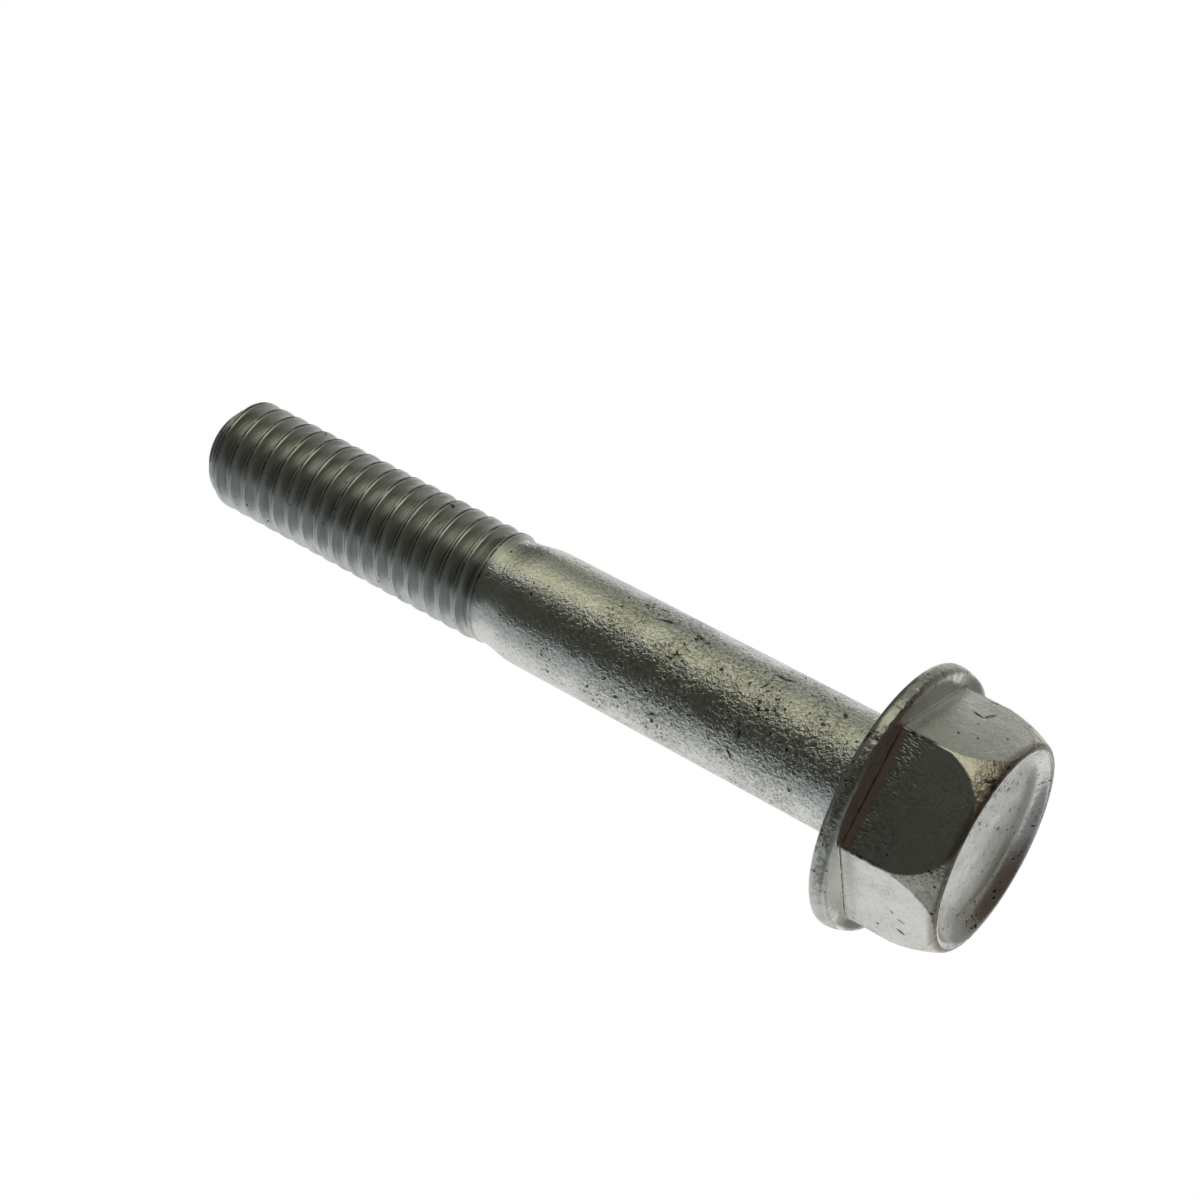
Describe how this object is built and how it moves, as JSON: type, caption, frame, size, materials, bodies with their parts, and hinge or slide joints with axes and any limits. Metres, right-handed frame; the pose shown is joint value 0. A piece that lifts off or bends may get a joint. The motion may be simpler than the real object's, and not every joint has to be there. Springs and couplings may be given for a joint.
{
  "type": "flange bolt",
  "caption": "Hex head bolt with a round flange, a plain shank and a part-length thread: pulls a joint together and spreads the load without a washer.",
  "frame": {"origin": "centre of the lip of the head, on the surface that the bolt stands on", "axes": "+Z along the bolt's axis from the head to the tip, +X through a corner of the hex"},
  "size_m": [0.013, 0.013, 0.0458],
  "materials": {
    "zinc_plated_steel": "dull bright zinc plating over cold-forged steel, lightly pitted"
  },
  "bodies": {
    "root": {"flange_bolt": "zinc_plated_steel"}
  },
  "joints": []
}
